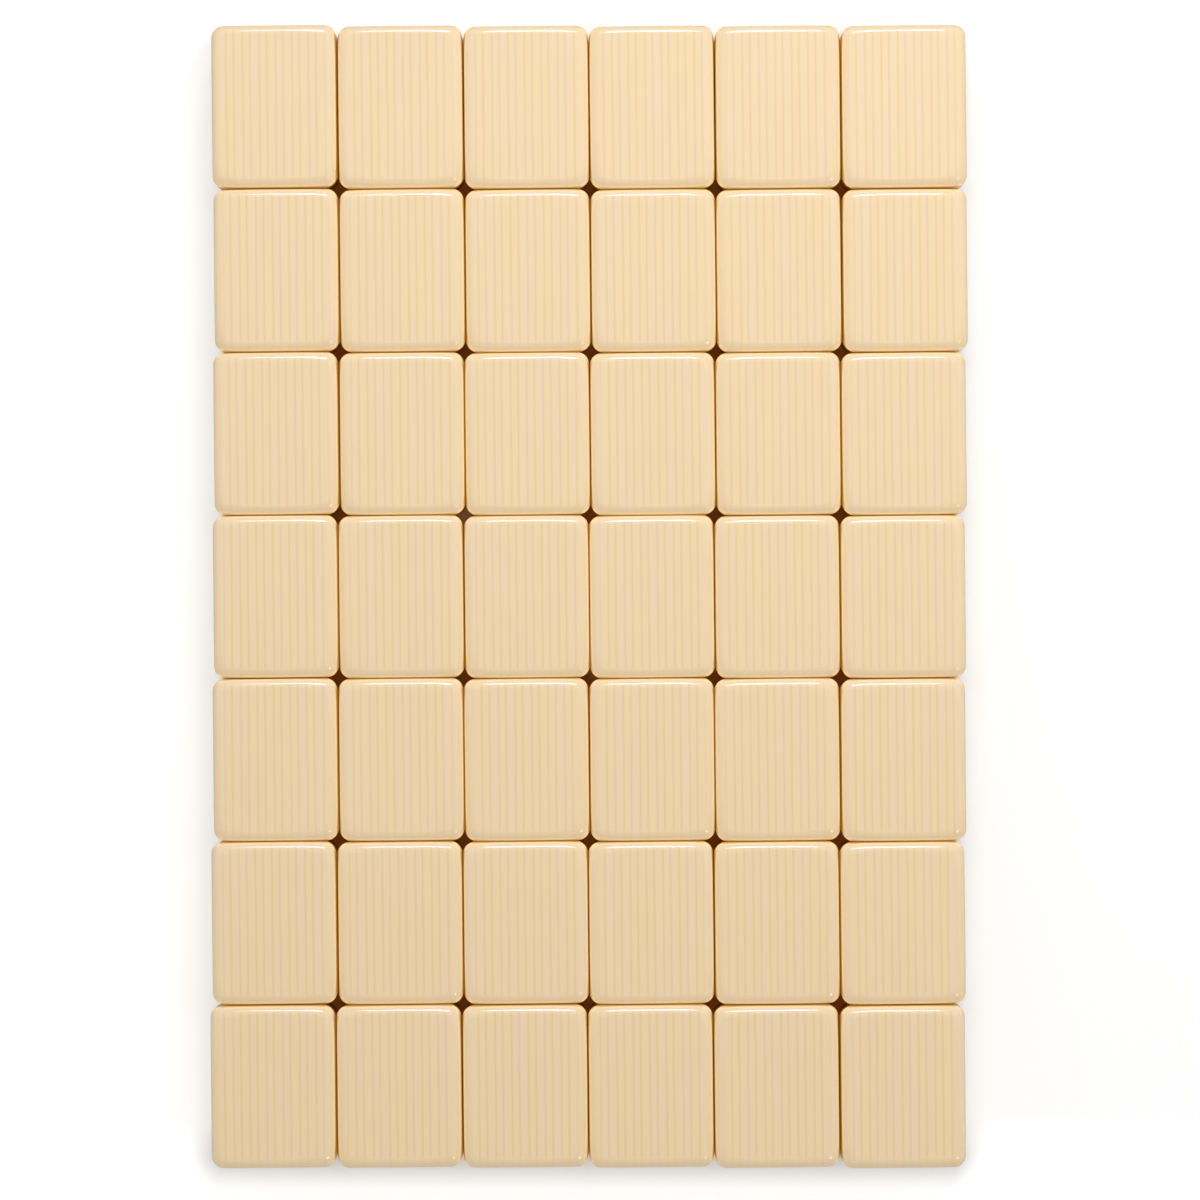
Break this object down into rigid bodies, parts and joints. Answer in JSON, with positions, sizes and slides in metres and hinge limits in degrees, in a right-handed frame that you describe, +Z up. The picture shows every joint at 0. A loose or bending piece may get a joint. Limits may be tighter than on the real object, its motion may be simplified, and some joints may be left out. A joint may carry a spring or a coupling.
{
  "type": "mahjong tile",
  "caption": "Block of blank cream mahjong tiles with rounded corners and edges, laid flat side by side in rows. Each tile lifts out of the block by itself.",
  "frame": {"origin": "middle of the block, on the surface that the tiles lie on", "axes": "+X along a row to the right, +Y from the nearest row to the farthest, +Z up out of the tiles' blank sides"},
  "size_m": [0.14, 0.2113, 0.015],
  "materials": {
    "cream_tile": "polished, cream, through-coloured, with fine straight stripes like the grain of ivory"
  },
  "bodies": {
    "tile_r1_c1": {"tile_r1_c1": "cream_tile"},
    "tile_r1_c2": {"tile_r1_c2": "cream_tile"},
    "tile_r1_c3": {"tile_r1_c3": "cream_tile"},
    "tile_r1_c4": {"tile_r1_c4": "cream_tile"},
    "tile_r1_c5": {"tile_r1_c5": "cream_tile"},
    "tile_r1_c6": {"tile_r1_c6": "cream_tile"},
    "tile_r2_c1": {"tile_r2_c1": "cream_tile"},
    "tile_r2_c2": {"tile_r2_c2": "cream_tile"},
    "tile_r2_c3": {"tile_r2_c3": "cream_tile"},
    "tile_r2_c4": {"tile_r2_c4": "cream_tile"},
    "tile_r2_c5": {"tile_r2_c5": "cream_tile"},
    "tile_r2_c6": {"tile_r2_c6": "cream_tile"},
    "tile_r3_c1": {"tile_r3_c1": "cream_tile"},
    "tile_r3_c2": {"tile_r3_c2": "cream_tile"},
    "tile_r3_c3": {"tile_r3_c3": "cream_tile"},
    "tile_r3_c4": {"tile_r3_c4": "cream_tile"},
    "tile_r3_c5": {"tile_r3_c5": "cream_tile"},
    "tile_r3_c6": {"tile_r3_c6": "cream_tile"},
    "tile_r4_c1": {"tile_r4_c1": "cream_tile"},
    "tile_r4_c2": {"tile_r4_c2": "cream_tile"},
    "tile_r4_c3": {"tile_r4_c3": "cream_tile"},
    "tile_r4_c4": {"tile_r4_c4": "cream_tile"},
    "tile_r4_c5": {"tile_r4_c5": "cream_tile"},
    "tile_r4_c6": {"tile_r4_c6": "cream_tile"},
    "tile_r5_c1": {"tile_r5_c1": "cream_tile"},
    "tile_r5_c2": {"tile_r5_c2": "cream_tile"},
    "tile_r5_c3": {"tile_r5_c3": "cream_tile"},
    "tile_r5_c4": {"tile_r5_c4": "cream_tile"},
    "tile_r5_c5": {"tile_r5_c5": "cream_tile"},
    "tile_r5_c6": {"tile_r5_c6": "cream_tile"},
    "tile_r6_c1": {"tile_r6_c1": "cream_tile"},
    "tile_r6_c2": {"tile_r6_c2": "cream_tile"},
    "tile_r6_c3": {"tile_r6_c3": "cream_tile"},
    "tile_r6_c4": {"tile_r6_c4": "cream_tile"},
    "tile_r6_c5": {"tile_r6_c5": "cream_tile"},
    "tile_r6_c6": {"tile_r6_c6": "cream_tile"},
    "tile_r7_c1": {"tile_r7_c1": "cream_tile"},
    "tile_r7_c2": {"tile_r7_c2": "cream_tile"},
    "tile_r7_c3": {"tile_r7_c3": "cream_tile"},
    "tile_r7_c4": {"tile_r7_c4": "cream_tile"},
    "tile_r7_c5": {"tile_r7_c5": "cream_tile"},
    "tile_r7_c6": {"tile_r7_c6": "cream_tile"}
  },
  "joints": [
    {"name": "lift_r1_c1", "type": "slide", "parent": "tile_r4_c3", "child": "tile_r1_c1", "axis": [0, 0, 1], "range_m": [0, 0.02]},
    {"name": "lift_r1_c2", "type": "slide", "parent": "tile_r4_c3", "child": "tile_r1_c2", "axis": [0, 0, 1], "range_m": [0, 0.02]},
    {"name": "lift_r1_c3", "type": "slide", "parent": "tile_r4_c3", "child": "tile_r1_c3", "axis": [0, 0, 1], "range_m": [0, 0.02]},
    {"name": "lift_r1_c4", "type": "slide", "parent": "tile_r4_c3", "child": "tile_r1_c4", "axis": [0, 0, 1], "range_m": [0, 0.02]},
    {"name": "lift_r1_c5", "type": "slide", "parent": "tile_r4_c3", "child": "tile_r1_c5", "axis": [0, 0, 1], "range_m": [0, 0.02]},
    {"name": "lift_r1_c6", "type": "slide", "parent": "tile_r4_c3", "child": "tile_r1_c6", "axis": [0, 0, 1], "range_m": [0, 0.02]},
    {"name": "lift_r2_c1", "type": "slide", "parent": "tile_r4_c3", "child": "tile_r2_c1", "axis": [0, 0, 1], "range_m": [0, 0.02]},
    {"name": "lift_r2_c2", "type": "slide", "parent": "tile_r4_c3", "child": "tile_r2_c2", "axis": [0, 0, 1], "range_m": [0, 0.02]},
    {"name": "lift_r2_c3", "type": "slide", "parent": "tile_r4_c3", "child": "tile_r2_c3", "axis": [0, 0, 1], "range_m": [0, 0.02]},
    {"name": "lift_r2_c4", "type": "slide", "parent": "tile_r4_c3", "child": "tile_r2_c4", "axis": [0, 0, 1], "range_m": [0, 0.02]},
    {"name": "lift_r2_c5", "type": "slide", "parent": "tile_r4_c3", "child": "tile_r2_c5", "axis": [0, 0, 1], "range_m": [0, 0.02]},
    {"name": "lift_r2_c6", "type": "slide", "parent": "tile_r4_c3", "child": "tile_r2_c6", "axis": [0, 0, 1], "range_m": [0, 0.02]},
    {"name": "lift_r3_c1", "type": "slide", "parent": "tile_r4_c3", "child": "tile_r3_c1", "axis": [0, 0, 1], "range_m": [0, 0.02]},
    {"name": "lift_r3_c2", "type": "slide", "parent": "tile_r4_c3", "child": "tile_r3_c2", "axis": [0, 0, 1], "range_m": [0, 0.02]},
    {"name": "lift_r3_c3", "type": "slide", "parent": "tile_r4_c3", "child": "tile_r3_c3", "axis": [0, 0, 1], "range_m": [0, 0.02]},
    {"name": "lift_r3_c4", "type": "slide", "parent": "tile_r4_c3", "child": "tile_r3_c4", "axis": [0, 0, 1], "range_m": [0, 0.02]},
    {"name": "lift_r3_c5", "type": "slide", "parent": "tile_r4_c3", "child": "tile_r3_c5", "axis": [0, 0, 1], "range_m": [0, 0.02]},
    {"name": "lift_r3_c6", "type": "slide", "parent": "tile_r4_c3", "child": "tile_r3_c6", "axis": [0, 0, 1], "range_m": [0, 0.02]},
    {"name": "lift_r4_c1", "type": "slide", "parent": "tile_r4_c3", "child": "tile_r4_c1", "axis": [0, 0, 1], "range_m": [0, 0.02]},
    {"name": "lift_r4_c2", "type": "slide", "parent": "tile_r4_c3", "child": "tile_r4_c2", "axis": [0, 0, 1], "range_m": [0, 0.02]},
    {"name": "lift_r4_c4", "type": "slide", "parent": "tile_r4_c3", "child": "tile_r4_c4", "axis": [0, 0, 1], "range_m": [0, 0.02]},
    {"name": "lift_r4_c5", "type": "slide", "parent": "tile_r4_c3", "child": "tile_r4_c5", "axis": [0, 0, 1], "range_m": [0, 0.02]},
    {"name": "lift_r4_c6", "type": "slide", "parent": "tile_r4_c3", "child": "tile_r4_c6", "axis": [0, 0, 1], "range_m": [0, 0.02]},
    {"name": "lift_r5_c1", "type": "slide", "parent": "tile_r4_c3", "child": "tile_r5_c1", "axis": [0, 0, 1], "range_m": [0, 0.02]},
    {"name": "lift_r5_c2", "type": "slide", "parent": "tile_r4_c3", "child": "tile_r5_c2", "axis": [0, 0, 1], "range_m": [0, 0.02]},
    {"name": "lift_r5_c3", "type": "slide", "parent": "tile_r4_c3", "child": "tile_r5_c3", "axis": [0, 0, 1], "range_m": [0, 0.02]},
    {"name": "lift_r5_c4", "type": "slide", "parent": "tile_r4_c3", "child": "tile_r5_c4", "axis": [0, 0, 1], "range_m": [0, 0.02]},
    {"name": "lift_r5_c5", "type": "slide", "parent": "tile_r4_c3", "child": "tile_r5_c5", "axis": [0, 0, 1], "range_m": [0, 0.02]},
    {"name": "lift_r5_c6", "type": "slide", "parent": "tile_r4_c3", "child": "tile_r5_c6", "axis": [0, 0, 1], "range_m": [0, 0.02]},
    {"name": "lift_r6_c1", "type": "slide", "parent": "tile_r4_c3", "child": "tile_r6_c1", "axis": [0, 0, 1], "range_m": [0, 0.02]},
    {"name": "lift_r6_c2", "type": "slide", "parent": "tile_r4_c3", "child": "tile_r6_c2", "axis": [0, 0, 1], "range_m": [0, 0.02]},
    {"name": "lift_r6_c3", "type": "slide", "parent": "tile_r4_c3", "child": "tile_r6_c3", "axis": [0, 0, 1], "range_m": [0, 0.02]},
    {"name": "lift_r6_c4", "type": "slide", "parent": "tile_r4_c3", "child": "tile_r6_c4", "axis": [0, 0, 1], "range_m": [0, 0.02]},
    {"name": "lift_r6_c5", "type": "slide", "parent": "tile_r4_c3", "child": "tile_r6_c5", "axis": [0, 0, 1], "range_m": [0, 0.02]},
    {"name": "lift_r6_c6", "type": "slide", "parent": "tile_r4_c3", "child": "tile_r6_c6", "axis": [0, 0, 1], "range_m": [0, 0.02]},
    {"name": "lift_r7_c1", "type": "slide", "parent": "tile_r4_c3", "child": "tile_r7_c1", "axis": [0, 0, 1], "range_m": [0, 0.02]},
    {"name": "lift_r7_c2", "type": "slide", "parent": "tile_r4_c3", "child": "tile_r7_c2", "axis": [0, 0, 1], "range_m": [0, 0.02]},
    {"name": "lift_r7_c3", "type": "slide", "parent": "tile_r4_c3", "child": "tile_r7_c3", "axis": [0, 0, 1], "range_m": [0, 0.02]},
    {"name": "lift_r7_c4", "type": "slide", "parent": "tile_r4_c3", "child": "tile_r7_c4", "axis": [0, 0, 1], "range_m": [0, 0.02]},
    {"name": "lift_r7_c5", "type": "slide", "parent": "tile_r4_c3", "child": "tile_r7_c5", "axis": [0, 0, 1], "range_m": [0, 0.02]},
    {"name": "lift_r7_c6", "type": "slide", "parent": "tile_r4_c3", "child": "tile_r7_c6", "axis": [0, 0, 1], "range_m": [0, 0.02]}
  ]
}
